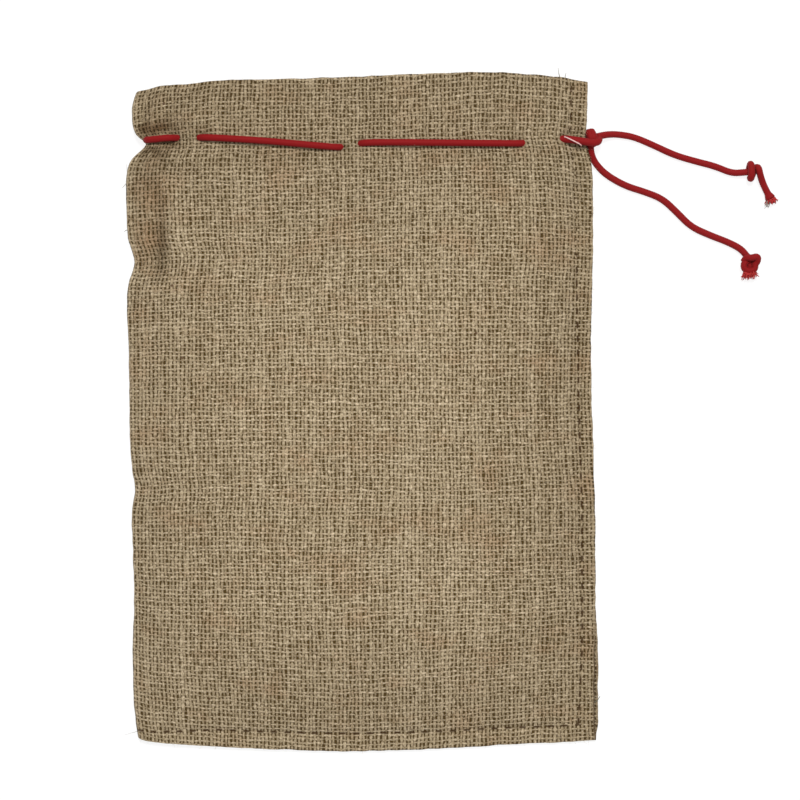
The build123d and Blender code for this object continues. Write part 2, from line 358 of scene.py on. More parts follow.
pouch = {
    "left": -121.4, "right": 120.2, "bottom": -173.6, "top": 172.4,
    "fold": 2.0,                 # radius of the left fold
    "thick": 0.9,
    "layer": 0.95,               # from one layer to the next
    "pressed": 0.68,             # the same under the stitches
    "hem": 27.0,
    "allowance": 10.0,
    "turn": 0.45,                # radius of a turned-in edge
    "seamIn": 8.2,               # from an edge to its stitches, where they are furthest in
    "sideDrift": 2.1, "sideFrom": 6.0, "sideTo": 263.0,     # the side row runs nearer the edge
    "sideIn": 40.0, "sideOut": 60.0,                        # and takes these lengths to get there
    "lowDrift": 4.2, "lowTo": 45.0,                         # the bottom row does at its left end
    "stitch": 7.2,               # pitch of the stitches
    "firstStitch": 8.2,          # from the bottom edge or the fold to the first of them
    "dent": 1.0, "dentWide": 1.7,           # how deep and how wide a stitch pulls the cloth in
    "dentAt": 0.3,               # where along the pitch it is deepest
    "ragged": 0.4,               # how uneven the edges are
    "slipBack": 1.2, "slipFront": -0.7,     # the two faces were not sewn edge to edge
    "columnStep": 2.4, "rowStep": 2.2,
}
clothWide, clothTall = pouch["right"] - pouch["left"], pouch["top"] - pouch["bottom"]
leftEdge = through([
    (-174, -117.2), (-157, -119.1), (-129, -120.1), (-98, -119.3), (-66, -120.1), (-51, -120.2),
    (-40, -118.5), (-30, -120.4), (-4, -121.6), (27, -121.9), (58, -122.9), (66, -122.4),
    (80, -119.2), (92, -122.4), (108, -123.3), (122, -123.5), (130, -122.6), (137, -120.6),
    (147, -120.0), (158, -120.2), (168, -119.6), (174, -117.4),
])
rightEdge = through([
    (-174, 121.8), (-160, 121.9), (-145, 121.9), (-129, 121.9), (-114, 121.9), (-83, 121.6),
    (-50, 121.5), (-19, 120.5), (27, 119.4), (60, 119.9), (106, 120.5), (130, 119.2),
    (137, 117.6), (143, 115.8), (149, 116.6), (160, 117.0), (170, 117.4),
])
topEdge = through([
    (-122, 166.2), (-112, 167.6), (-103, 169.2), (-89, 169.8), (-76, 171.4), (-53, 172.0),
    (-22, 172.8), (9, 173.9), (40, 175.2), (71, 175.6), (87, 174.6), (102, 173.8), (118, 171.6),
])
bottomEdge = through([
    (-118, -168.6), (-109, -171.2), (-69, -174.0), (-38, -175.4), (-7, -176.2), (9, -175.9),
    (40, -174.9), (71, -173.0), (102, -171.6), (121, -170.6),
])
bight = Vector((-113.6, 141.2))                     # where the cord goes round the left fold
holes = [(-97.8, 142.4), (-83.7, 142.6), (-11.6, 137.6), (-0.6, 139.6), (81.0, 139.6), (104.0, 142.2)]


def turnedIn(distance, edge):
    # (distance of the cloth from its fold, share of a layer that it has moved in)
    radius = pouch["turn"]
    if distance <= edge:
        return distance, 0.0
    angle = (distance - edge) / radius
    if angle < math.pi:
        return edge + radius * math.sin(angle), (1 - math.cos(angle)) / 2
    return edge - (distance - edge - math.pi * radius), 1.0


def liftAt(y):
    # the back face passes over the cord at the neck
    return 3.9 * smooth((y - 112) / 16) * (1 - 0.62 * smooth((y - 151) / 24))


def neckness(y):
    return hump(y - 140, 17)


def frontTop(x, y):
    # height of the middle of the front face's cloth where it stands free
    swell = 11.1 + 0.6 * smooth((y - 60) / 60) - 0.5 * smooth((y - 150) / 25)
    rolling = noise.noise((x / 62, y / 74, 3.1)) * 1.1 + noise.noise((x / 23, y / 31, 8.4)) * 0.35
    steady = 1 - neckness(y) * smooth((x + 95) / 20) * 0.85
    return swell + (rolling - 0.25) * steady


def puckers(x, y):
    # folds that run out from where the cord gathers the left edge
    away = Vector((x, y)) - bight
    far = away.length
    if far > 100:
        return 0.0
    angle = math.atan2(away.y, away.x)
    fan = 0.5 + 0.5 * math.cos(angle * 8.5 + 0.6 * math.sin(far / 9))
    ridge = -2.8 * fan * math.exp(-far / 17) * smooth(far / 7)
    bend = -106.6 + 1.6 * math.sin((y - 70) / 14)
    along = smooth((y - 58) / 16) * smooth((139 - y) / 12)
    crease = -(1.1 + 1.9 * hump(y - 85, 13)) * hump(x - bend, 3.6) * along
    over = -1.5 * hump(y - 147.8 - (x + 96) * 0.06, 3.0) * smooth((-84 - x) / 14)
    return ridge + crease + over


def underCord(x, y):
    # the cord presses the cloth down, and lifts it where it runs beneath
    dip = sum(hump(math.hypot(x - hx, y - hy), 3.4) for hx, hy in holes) * -1.5
    ridge = 0.0
    for (ax, ay), (bx, by) in ((holes[0], holes[1]), (holes[2], holes[3]), (holes[4], holes[5])):
        if ax + 2 < x < bx - 2:
            mid = ay + (by - ay) * (x - ax) / (bx - ax)
            ridge += 0.7 * hump(y - mid, 2.6)
    return dip + ridge


def sideRow(t):
    # from the right edge to the side row of stitches, t up from the bottom edge
    near = level((pouch["sideTo"] - t) / pouch["sideOut"])
    near *= level((t - pouch["sideFrom"]) / pouch["sideIn"])
    return pouch["seamIn"] - pouch["sideDrift"] * near


def bottomRow(s):
    return pouch["seamIn"] - pouch["lowDrift"] * level(1 - s / pouch["lowTo"])


def seamDents(fromRight, fromLeft, along):
    # each stitch pulls the cloth in, deepest at its middle
    def wave(place):
        turn = ((place - pouch["firstStitch"]) / pouch["stitch"] - pouch["dentAt"]) * 2 * math.pi
        return 0.55 + 0.45 * math.cos(turn)

    side = hump(fromRight - sideRow(along), pouch["dentWide"]) * wave(along)
    low = hump(along - bottomRow(fromLeft), pouch["dentWide"]) * wave(fromLeft)
    return -pouch["dent"] * max(side, low)


def clothPoint(s, t):
    # where the blank's point (s across from the fold, t up from the bottom edge) comes to lie
    front, back = s >= 0, s < 0
    radius, pressed = pouch["fold"], pouch["pressed"]
    across, sideTuck = turnedIn(abs(s), clothWide)
    mouthTuck, bottomTuck = 0.0, 0.0
    if t < clothTall / 2:
        below, bottomTuck = turnedIn(clothTall - t, clothTall)
        along = clothTall - below
    else:
        along, mouthTuck = turnedIn(t, clothTall)
    x, y = pouch["left"] + across, pouch["bottom"] + along
    ragged = noise.noise((x / 5, y / 5, 4.4)) * pouch["ragged"]
    fromLeft, fromRight, fromTop = across, clothWide - across, clothTall - along
    edgeL, edgeR = leftEdge(y), rightEdge(y)
    gather = 6.2 * hump(y - bight.y, 6.5) + 1.8 * hump(y - bight.y, 15)
    x += (edgeL - pouch["left"]) * math.exp(-fromLeft / 45) + gather * math.exp(-fromLeft / 15)
    x += (edgeR - pouch["right"]) * math.exp(-max(fromRight, 0) / 60)
    x += ragged * (math.exp(-fromLeft / 4) + math.exp(-max(fromRight, 0) / 4))
    edgeT, edgeB = topEdge(x), bottomEdge(x)
    y += (edgeT - pouch["top"]) * math.exp(-fromTop / 55)
    y += (edgeB - pouch["bottom"]) * math.exp(-along / 55)
    y += ragged * (math.exp(-max(fromTop, 0) / 4) + math.exp(-max(along, 0) / 4))
    pull = hump(y - bight.y, 17) * math.exp(-fromLeft / 17)
    y -= (y - bight.y) * 0.32 * pull
    astray = smooth((-96 - y) / 34) * smooth((y + 170) / 8) * math.exp(-max(fromRight, 0) / 7)
    x += (pouch["slipBack"] if back else pouch["slipFront"]) * astray
    seamNear = smooth(1 - (fromRight - 11) / 10)
    hemNear = smooth((y - 144) / 3) if fromTop < pouch["hem"] else 0.0
    stack = pressed * (3 + 2 * hemNear * seamNear)
    tuck = sideTuck * pressed + bottomTuck * pressed
    tuck += mouthTuck * (2 * pressed * seamNear + pouch["layer"] * (1 - seamNear))
    low = pouch["thick"] / 2 + 0.02 + liftAt(y)
    quarter = radius * math.pi / 2
    if abs(s) < quarter:                            # round the left fold
        angle = abs(s) / radius
        inner = radius - tuck
        x += radius - inner * math.cos(angle) - across
        rise = inner * math.sin(angle)
        return Vector((x, y, low + radius + (rise if front else -rise)))
    x += radius - quarter
    if back:
        return Vector((x, y, low + tuck))
    base = low + 2 * radius * (1 - smooth(fromLeft / 120)) + stack * smooth(fromLeft / 120)
    tight = neckness(y)
    riseL = ease((fromLeft - quarter) / (30 - 16 * tight))
    riseR = ease((fromRight - pouch["seamIn"]) / (28 - 19 * tight))
    riseB = ease((along - pouch["seamIn"]) / 64)
    share = riseL * riseR * riseB
    z = base + (frontTop(x, y) - base) * share
    z += puckers(x, y) * smooth((fromLeft - 3) / 8) + underCord(x, y) * share
    z += seamDents(fromRight, fromLeft, along)
    return Vector((x, y, max(z, low + 0.4) - tuck))


def paintedShadeAt(s, t, x, y):
    # painted shade, from 0 to 1.4: darker the further the cloth is in a fold, round the holes, by the
    # cord at the left or near an edge
    value = max(0.24 * (1 - smooth(abs(s) / 80)), 0.31 * (1 - smooth((clothWide - abs(s)) / 80)),
                0.45 * (1 - smooth((clothTall - t) / 130)), 0.19 * (1 - smooth(t / 100)))
    if s > pouch["fold"] * math.pi / 2:
        value += max(-puckers(x, y) / 3.0, 0.0)
        value += sum(hump(math.hypot(x - hx, y - hy), 2.6) for hx, hy in holes)
        # painted shadow just under and over the cord at the left fold
        value += (0.5 * hump(y - 137.0, 3.4) + 0.3 * hump(y - 146.4, 3.0)) * smooth((-90 - x) / 12)
        value += 0.22 * smooth((-108 - x) / 8) * hump(y - 96, 34)
    elif abs(s) > clothWide - 3.5:
        # painted shadow on the back face's strip beyond the front face's edge at the lower right
        value += 0.35 * smooth((-96 - y) / 34)
    return min(value, 1.4)


def gridLines(stops, steps):
    # places of the mesh lines between the stops, each stretch with its own step
    lines = [stops[0]]
    for a, b, step in zip(stops, stops[1:], steps):
        count = max(round((b - a) / step), 1)
        lines += [a + (b - a) * (n + 1) / count for n in range(count)]
    return lines


def makeCloth():
    wide, tall = clothWide, clothTall
    turn = pouch["turn"] * math.pi
    half = gridLines([0, 8, wide - 11, wide - 5.5, wide - 0.6, wide + turn,
                      wide + turn + pouch["allowance"]],
                     [1.0, pouch["columnStep"], 1.1, 2.4, 0.48, 3.3])
    columns = [-s for s in reversed(half[1:])] + half
    rows = gridLines([-turn - pouch["allowance"], -turn, 0.6, 5.5, 11, tall - 0.6, tall + turn,
                      tall + turn + pouch["hem"]],
                     [3.3, 0.48, 2.4, 1.1, pouch["rowStep"], 0.48, 3.4])
    bm = bmesh.new()
    bmesh.ops.create_grid(bm, x_segments=len(columns) - 1, y_segments=len(rows) - 1, size=0.5)
    uv = bm.loops.layers.uv.new("blank")
    crease = bm.verts.layers.float.new("crease")    # painted shade of folds, holes and edges, which the jute material reads
    blank = {}
    for vert in bm.verts:
        i = round((vert.co.x + 0.5) * (len(columns) - 1))
        j = round((vert.co.y + 0.5) * (len(rows) - 1))
        blank[vert] = (columns[i], rows[j])
    cut = []
    for face in bm.faces:
        for loop in face.loops:
            s, t = blank[loop.vert]
            loop[uv].uv = (s * mm, t * mm)
        s = min(abs(blank[v][0]) for v in face.verts)
        t = [blank[v][1] for v in face.verts]
        if s > wide + turn / 2 and (min(t) > tall + turn / 2 or max(t) < -turn / 2):
            cut.append(face)                        # corners are trimmed before they are sewn
    for vert, (s, t) in blank.items():
        vert.co = clothPoint(s, t)
        vert[crease] = paintedShadeAt(s, t, vert.co.x, vert.co.y)
    bmesh.ops.delete(bm, geom=cut, context="FACES")
    bmesh.ops.scale(bm, vec=(mm, mm, mm), verts=bm.verts)
    bmesh.ops.recalc_face_normals(bm, faces=bm.faces)
    return finishMesh("pouch_cloth", bm)


print("cloth")
cloth = makeCloth()
wall = cloth.modifiers.new("thickness", "SOLIDIFY")
wall.thickness = pouch["thick"] * mm
wall.offset = 0.0

# Materials


class Wire:
    # a shader socket that takes part in Python expressions
    def __init__(self, tree, socket):
        self.tree, self.socket = tree, socket

    def node(self, kind, settings=None, inputs=None, output=0):
        made = self.tree.nodes.new(kind)
        for key, value in (settings or {}).items():
            if key == "stops":
                ramp = made.color_ramp
                while len(ramp.elements) < len(value):
                    ramp.elements.new(0.5)
                for element, (place, colour) in zip(ramp.elements, value):
                    element.position, element.color = place, (*colour, 1)
            else:
                setattr(made, key, value)
        for key, value in (inputs or {}).items():
            self.feed(made.inputs[key], value)
        return Wire(self.tree, made.outputs[output])

    def feed(self, target, value):
        if isinstance(value, Wire):
            self.tree.links.new(value.socket, target)
        elif isinstance(value, tuple) and target.type == "RGBA":
            target.default_value = (*value, 1)
        else:
            target.default_value = value

    def math(self, operation, *others):
        inputs = {n: value for n, value in enumerate((self, *others))}
        return self.node("ShaderNodeMath", {"operation": operation}, inputs)

    def __add__(self, other):
        return self.math("ADD", other)

    def __sub__(self, other):
        return self.math("SUBTRACT", other)

    def __mul__(self, other):
        return self.math("MULTIPLY", other)

    def __truediv__(self, other):
        return self.math("DIVIDE", other)

    def __gt__(self, other):
        return self.math("GREATER_THAN", other)

    def __rsub__(self, other):
        return self.node("ShaderNodeMath", {"operation": "SUBTRACT"}, {0: other, 1: self})

    __radd__ = __add__

    def clamp(self):
        return self.math("MAXIMUM", 0.0).math("MINIMUM", 1.0)

    def join(self, y, z=0.0):
        return self.node("ShaderNodeCombineXYZ", {}, {0: self, 1: y, 2: z})

    def part(self, index):
        return self.node("ShaderNodeSeparateXYZ", {}, {0: self}, index)

    def random(self):                               # one number from 0 to 1 for each input
        return self.node("ShaderNodeTexWhiteNoise", {"noise_dimensions": "1D"}, {"W": self})

    def cloud(self, scale, detail=2.0, rough=0.5):
        return self.node("ShaderNodeTexNoise", {"noise_dimensions": "3D"},
                         {"Vector": self, "Scale": scale, "Detail": detail, "Roughness": rough})

    def ramp(self, stops):
        return self.node("ShaderNodeValToRGB", {"stops": stops}, {0: self})

    def mix(self, a, b, blend="MIX"):               # self is the share of b
        settings = {"data_type": "RGBA", "blend_type": blend}
        return self.node("ShaderNodeMix", settings, {0: self, 6: a, 7: b}, 2)


def startMaterial(name, roughness, uvName=None, **constants):
    material = bpy.data.materials.new(name)
    material.use_nodes = True
    tree = material.node_tree
    shader = tree.nodes["Principled BSDF"]
    shader.inputs["Roughness"].default_value = roughness
    for key, value in constants.items():
        shader.inputs[key.replace("_", " ")].default_value = value
    start = Wire(tree, None)
    if uvName:
        where = start.node("ShaderNodeUVMap", {"uv_map": uvName})
    else:
        where = start.node("ShaderNodeTexCoord", output=3)
    return material, shader, where


def bumpInto(shader, height, distance, strength=1.0):
    normal = height.node("ShaderNodeBump", {}, {"Height": height, "Distance": distance,
                                                "Strength": strength})
    normal.feed(shader.inputs["Normal"], normal)


def srgb(r, g, b):
    def linear(c):
        c /= 255
        return c / 12.92 if c <= 0.04045 else ((c + 0.055) / 1.055) ** 2.4

    return (linear(r), linear(g), linear(b))


weave = {
    "across": 1.98 * mm,         # pitch of the threads that run up the pouch
    "up": 2.24 * mm,             # pitch of the threads that run across it
    "upHalf": 0.340,             # half widths of the two kinds of thread, in pitches
    "acrossHalf": 0.190,
    "stray": 1.1,                # how far a thread wanders from its place, in pitches
    "slub": 0.44,                # how much it thickens and thins
    # painted shade, for the sides of the threads and the holes between them
    "paintedShade": srgb(84, 66, 36),
    "pale": srgb(234, 214, 182),
    "plain": srgb(176, 157, 125),
    "dull": srgb(114, 95, 63),
    "warm": srgb(176, 134, 96),
    "fleck": srgb(84, 52, 30),
    "fold": (0.27, 0.22, 0.16),  # painted shade: what is left of the colour down in a crease
    "seam": srgb(60, 38, 14),
    "edgeShadowUpTo": 66.0, "edgeShadowFade": 22.0,       # painted shadow: the dark line of the back face at the lower right
    "stitchHalf": 0.9,           # half width of the shadow along the stitches
}


def shifted(uv, x, y):
    return uv.node("ShaderNodeVectorMath", {"operation": "ADD"}, {0: uv, 1: (x, y, 0.0)})


def seamShade(uv):
    # dark short lines where the stitches pull the cloth in
    wide = (clothWide - pouch["seamIn"]) * mm
    across, along = uv.part(0).math("ABSOLUTE"), uv.part(1)
    near = ((pouch["sideTo"] * mm - along) / (pouch["sideOut"] * mm)).clamp()
    near = near * ((along - pouch["sideFrom"] * mm) / (pouch["sideIn"] * mm)).clamp()
    outward = near * (pouch["sideDrift"] * mm)
    downward = (1 - across / (pouch["lowTo"] * mm)).clamp() * (pouch["lowDrift"] * mm)

    def dashes(offLine, place):
        turn = (place - pouch["firstStitch"] * mm) / (pouch["stitch"] * mm)
        turn = (turn - pouch["dentAt"]) * 2 * math.pi
        line = (1 - (offLine / (weave["stitchHalf"] * mm)).math("POWER", 2.0)).clamp()
        return line * (turn.math("COSINE") * 1.6 + 0.4).clamp() * 0.9

    side = dashes(across - wide - outward, along) * (along > pouch["firstStitch"] * mm)
    low = dashes(along - pouch["seamIn"] * mm + downward, across) * across.math("LESS_THAN", wide)
    return side.math("MAXIMUM", low)


def jute():
    material, shader, uv = startMaterial("jute_hessian", 0.9, "blank", Sheen_Weight=0.08,
                                         Specular_IOR_Level=0.12)
    drift, driftUp = uv.cloud(9.0, 1.0), shifted(uv, 3.1, 7.7).cloud(8.0, 1.0)
    wobble, wobbleUp = uv.cloud(90.0, 2.0), shifted(uv, 1.3, 4.2).cloud(80.0, 2.0)
    p = uv.part(0) / weave["across"] + drift * 3.0 + wobble * 0.5
    q = uv.part(1) / weave["up"] + driftUp * 3.0 + wobbleUp * 0.7
    ip, iq = p.math("FLOOR"), q.math("FLOOR")
    sign = ((ip + iq) * 0.5).math("FRACT") * 4 - 1  # -1 or 1, like a chessboard
    upThread, acrossThread = ip.random(), (iq * 1.37 + 91.3).random()
    # every thread wanders, thickens and thins along its length
    upStray = ((ip * 3.7).join(q * 0.17, 9.0).cloud(1.0, 2.0) - 0.5) * weave["stray"]
    acrossStray = ((p * 0.15).join(iq * 3.7, 2.0).cloud(1.0, 2.0) - 0.5) * weave["stray"]
    fuzz = (uv.cloud(1100.0, 1.0) - 0.5) * 0.22
    fp = p - ip - 0.5 + upStray + fuzz
    fq = q - iq - 0.5 + acrossStray - fuzz
    upSlub = (ip * 3.7).join(q * 0.83).cloud(1.0, 2.0)
    acrossSlub = (p * 0.71).join(iq * 3.7, 5.0).cloud(1.0, 2.0)
    dense = (shifted(uv, 5.0, 2.0).cloud(90.0, 2.0) - 0.5) * 0.16
    upHalf = weave["upHalf"] + (upSlub - 0.5) * weave["slub"] + (upThread - 0.5) * 0.05 + dense
    acrossHalf = weave["acrossHalf"] + (acrossSlub - 0.5) * weave["slub"] + dense
    upDome = (1 - (fp / upHalf).math("POWER", 2.0)).math("MAXIMUM", 0.0).math("SQRT")
    acrossDome = (1 - (fq / acrossHalf).math("POWER", 2.0)).math("MAXIMUM", 0.0).math("SQRT")
    upRise = upDome * 0.65 + sign * (fq * math.pi).math("COSINE") * 0.3
    acrossRise = acrossDome * 0.65 - sign * (fp * math.pi).math("COSINE") * 0.3
    upRise = upRise - upDome.math("LESS_THAN", 0.02) * 3
    acrossRise = acrossRise - acrossDome.math("LESS_THAN", 0.02) * 3
    height = upRise.math("MAXIMUM", acrossRise).math("MAXIMUM", -0.8)
    upOnTop = upRise > acrossRise
    # colour of each thread, streaked along its fibres
    upFibre = (p * 3.4).join(q * 1.5, ip).cloud(1.0, 4.0, 0.65)
    acrossFibre = (p * 1.5).join(q * 3.4, iq).cloud(1.0, 4.0, 0.65)
    upTone = upFibre * 1.2 + upThread * 0.10 + upSlub * 0.45 - 0.38
    acrossTone = acrossFibre * 1.2 + acrossThread * 0.10 + acrossSlub * 0.45 - 0.33
    tone = upTone * upOnTop + acrossTone * (1 - upOnTop)
    thread = tone.ramp([(0.2, weave["dull"]), (0.47, weave["plain"]), (0.8, weave["pale"])])
    patch = uv.node("ShaderNodeVectorMath", {"operation": "MULTIPLY"}, {0: uv, 1: (1.0, 1.6, 1.0)})
    leftSide = (1 - ((uv.part(0) - 11 * mm) / (13 * mm)).math("ABSOLUTE")).clamp()
    leftSide = leftSide * (1 - ((uv.part(1) - 268 * mm) / (75 * mm)).math("ABSOLUTE")).clamp()
    warmth = ((patch.cloud(30.0, 4.0, 0.6) - 0.52 + leftSide * 0.2) * 3.0).clamp() * 0.6
    thread = warmth.mix(thread, weave["warm"])
    # painted shade: each thread darker where it curves down at its sides and goes under its neighbours
    shade = (height * 0.85 + 0.32).clamp()
    colour = (1 - shade).mix(thread, weave["paintedShade"])
    # painted shade in the gaps between the threads, where the inside of the pouch shows, some of them
    # half closed by fluff
    clumps = (shifted(uv, 2.2, 6.1).cloud(150.0, 2.0) - 0.5) * 1.3
    fluff = ((ip * 1.7 + iq * 57.3).random() * 0.6 + clumps).clamp()
    # the painted shade is weaker, the gaps paler, where the cloth lies double
    sideLine = clothWide - pouch["allowance"]
    doubled = (uv.part(1) > (clothTall - pouch["hem"]) * mm)
    doubled = doubled + (uv.part(0).math("ABSOLUTE") > sideLine * mm)
    doubled = doubled + uv.part(1).math("LESS_THAN", 9 * mm)
    gapShade = height.math("LESS_THAN", -0.5) * (1 - fluff) * (1 - doubled.clamp() * 0.35)
    colour = gapShade.mix(colour, weave["paintedShade"])
    spots = uv.node("ShaderNodeTexVoronoi", {}, {"Vector": uv, "Scale": 46.0})
    fleck = spots.math("LESS_THAN", 0.035) * 0.7
    colour = fleck.mix(colour, weave["fleck"])
    # painted shade: the crease attribute darkens the colour in folds, round the holes, by the cord and
    # near the edges
    crease = uv.node("ShaderNodeAttribute", {"attribute_name": "crease"}, output=2)
    sunk = uv.node("ShaderNodeVectorMath", {"operation": "MULTIPLY"}, {0: colour, 1: weave["fold"]})
    colour = (crease * 0.66).clamp().mix(colour, sunk)
    # painted shadow along the edge of the faces at the lower right
    edgeShadow = uv.part(0) > (clothWide - 0.05) * mm
    edgeShadow = edgeShadow * ((weave["edgeShadowUpTo"] * mm - uv.part(1)) / (weave["edgeShadowFade"] * mm)).clamp() * 0.75
    colour = seamShade(uv).math("MAXIMUM", edgeShadow).mix(colour, weave["seam"])
    colour.feed(shader.inputs["Base Color"], colour)
    bumpInto(shader, height + upFibre * 0.25, 0.3 * mm, 0.9)
    return material


cordColour = {
    "light": srgb(139, 19, 21),
    "main": srgb(102, 6, 9),
    "deep": srgb(36, 2, 3),
}
brushColour = {
    "light": srgb(180, 52, 50),
    "main": srgb(106, 8, 12),
    "deep": srgb(40, 2, 4),
}


def redCord(name, colours):
    material, shader, uv = startMaterial(name, 0.7, "UVMap", Sheen_Weight=0.04, Specular_IOR_Level=0.14)
    wind = uv.part(0) / cordMake["lay"]
    turns = uv.part(1)
    half = cordMake["strands"] * math.pi
    lean = ((turns + wind) * half).math("COSINE")
    cross = ((turns - wind) * half).math("COSINE")
    braid = lean * cross
    fibres = (turns * 46).join(uv.part(0) * 900).cloud(1.0, 3.0, 0.6)
    blotch = uv.part(0).join(turns * 0.004).cloud(260.0, 2.0)
    # painted shade: the braid term darkens the colour in the grooves between the strands
    tone = braid * 0.42 + fibres * 0.8 + blotch * 0.6 - 0.22
    colour = tone.ramp([(0.2, colours["deep"]), (0.5, colours["main"]), (0.85, colours["light"])])
    colour.feed(shader.inputs["Base Color"], colour)
    bumpInto(shader, braid * 0.6 + fibres * 0.6, 0.14 * mm, 0.9)
    return material


def threadMaterial(name, dark, light, roughness=0.7):
    material, shader, uv = startMaterial(name, roughness, "UVMap", Specular_IOR_Level=0.15)
    twist = ((uv.part(0) / (0.9 * mm) + uv.part(1)) * 2 * math.pi).math("SINE")
    fuzz = (uv.part(0) * 2000).join(uv.part(1) * 6).cloud(1.0, 2.0)
    tone = twist * 0.25 + fuzz * 0.6 + 0.2
    colour = tone.ramp([(0.1, dark), (0.9, light)])
    colour.feed(shader.inputs["Base Color"], colour)
    bumpInto(shader, twist, 0.08 * mm)
    return material


def put(piece, material):
    piece.data.materials.clear()
    piece.data.materials.append(material)


print("materials")
cordMaterial = redCord("red_braided_cord", cordColour)
for piece in (neckCord, frontLeadCord, backLeadCord, neckKnot, upperCord, lowerCord, stubCord,
              upperKnot, lowerKnot):
    put(piece, cordMaterial)
brushMaterial = redCord("red_cord_fibres", brushColour)
put(upperFray, brushMaterial)
put(lowerFray, brushMaterial)
coreMaterial = threadMaterial("cord_core_grey", srgb(112, 100, 92), srgb(206, 198, 190))
put(upperCore, coreMaterial)
put(lowerCore, coreMaterial)
put(cloth, jute())

# Sewing and tack threads

sewing = {
    "radius": 0.26 * mm, "length": 4.6,
    "sink": 0.9,                 # how deep its ends go into the cloth
    "path": ((0.0, 1.0), (0.12, 0.2), (0.35, -0.1), (0.65, -0.1), (0.88, 0.2), (1.0, 1.0)),
    "floor": 0.36,
}
seamThread = threadMaterial("sewing_thread_brown", srgb(40, 25, 10), srgb(88, 62, 34))
tackMaterial = threadMaterial("tack_thread_pale", srgb(232, 160, 158), srgb(252, 226, 222), 0.45)


def stitchRow(name, places, side):
    # each stitch rises from the cloth, lies along the seam and goes in again; side is 1 in
    # front and -1 behind, and the places are pairs of points of the blank
    bm = bmesh.new()
    for (s1, t1), (s2, t2) in places:
        chain = []
        for share, sunk in sewing["path"]:
            point = clothPoint(s1 + (s2 - s1) * share, t1 + (t2 - t1) * share)
            point.z += side * (pouch["thick"] / 2 - sunk * sewing["sink"])
            point.z = max(point.z, sewing["floor"])
            chain.append(point * mm)
        addThin(bm, evenly(chain, 0.5 * mm), 6, lambda along, turn: sewing["radius"])
    return finishMesh(name, bm)


def sideStitches(side):
    t, places = pouch["firstStitch"], []
    while t < clothTall - 3:
        far = t + sewing["length"]
        places.append(((side * (clothWide - sideRow(t)), t), (side * (clothWide - sideRow(far)), far)))
        t += pouch["stitch"]
    return places


def bottomStitches(side):
    s, places = pouch["firstStitch"], []
    while s < clothWide - pouch["seamIn"] - 2:
        far = s + sewing["length"]
        places.append(((side * s, bottomRow(s)), (side * far, bottomRow(far))))
        s += pouch["stitch"]
    return places


print("threads")
seams = {
    "side_seam_needle_thread": stitchRow("side_stitches_front", sideStitches(1), 1),
    "side_seam_bobbin_thread": stitchRow("side_stitches_back", sideStitches(-1), -1),
    "bottom_seam_needle_thread": stitchRow("bottom_stitches_front", bottomStitches(1), 1),
    "bottom_seam_bobbin_thread": stitchRow("bottom_stitches_back", bottomStitches(-1), -1),
}
for node, row in seams.items():
    put(row, seamThread)
    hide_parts(node)
    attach(row, "bag")

tackRoute = inMetres([(104.4, 143.0, 10.4), (105.0, 142.7, 12.3), (108.9, 140.75, 12.7),
                      (112.8, 138.8, 12.3), (113.3, 138.5, 9.8)])
tackRadius = 0.33 * mm
tackBm = bmesh.new()
addTube(tackBm, evenly(routeLine(tackRoute), 0.5 * mm), 8, lambda along, turn: tackRadius)
tack = finishMesh("tack_thread_stitch", tackBm)
put(tack, tackMaterial)
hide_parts("tack_thread")
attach(tack, "bag")

# Loose fibres that stand off the cloth

fluffMake = {
    "onFace": 520, "onEdge": 420,
    "radius": 0.055 * mm,
    "length": (2.0, 5.5),        # of those on the faces
    "edgeLength": (1.0, 3.4),
    "seed": 21,
}


def addFibre(bm, start, way, length, radius, draw):
    curl = Vector([draw.uniform(-1, 1) for _ in range(3)]) * 0.5
    chain = [start + (way * t + curl * t * t) * length * mm for t in (0.0, 0.3, 0.65, 1.0)]
    for point in chain:
        point.z = max(point.z, 0.15 * mm)
    addThin(bm, chain, 3, lambda along, turn: radius * (1.25 - along / (length * mm) * 0.7))


def makeFluff(setup=fluffMake):
    draw = random.Random(setup["seed"])
    wide, tall = clothWide, clothTall
    bm = bmesh.new()
    for _ in range(setup["onFace"]):
        s, t = draw.uniform(8, wide - 3), draw.uniform(4, tall - 3)
        turn = draw.uniform(0, 2 * math.pi)
        way = Vector((math.cos(turn), math.sin(turn), draw.uniform(0.05, 0.4))).normalized()
        start = (clothPoint(s, t) + Vector((0, 0, pouch["thick"] / 2))) * mm
        addFibre(bm, start, way, draw.uniform(*setup["length"]), setup["radius"], draw)
    edges = (
        (lambda share: (pouch["fold"] * math.pi / 2, share * tall), Vector((-1, 0, 0))),
        (lambda share: (wide, share * tall), Vector((1, 0, 0))),
        (lambda share: (share * wide, 0.0), Vector((0, -1, 0))),
        (lambda share: (share * wide, tall), Vector((0, 1, 0))),
    )
    for _ in range(setup["onEdge"]):
        place, out = edges[draw.choice((0, 0, 1, 1, 2, 3))]
        start = (clothPoint(*place(draw.uniform(0.01, 0.99))) - out * 0.3) * mm
        lean = Vector([draw.uniform(-1, 1) for _ in range(2)] + [draw.uniform(-0.2, 0.4)])
        length = draw.uniform(*setup["edgeLength"])
        addFibre(bm, start, (out + lean).normalized(), length, setup["radius"], draw)
    return finishMesh("cloth_fluff", bm)


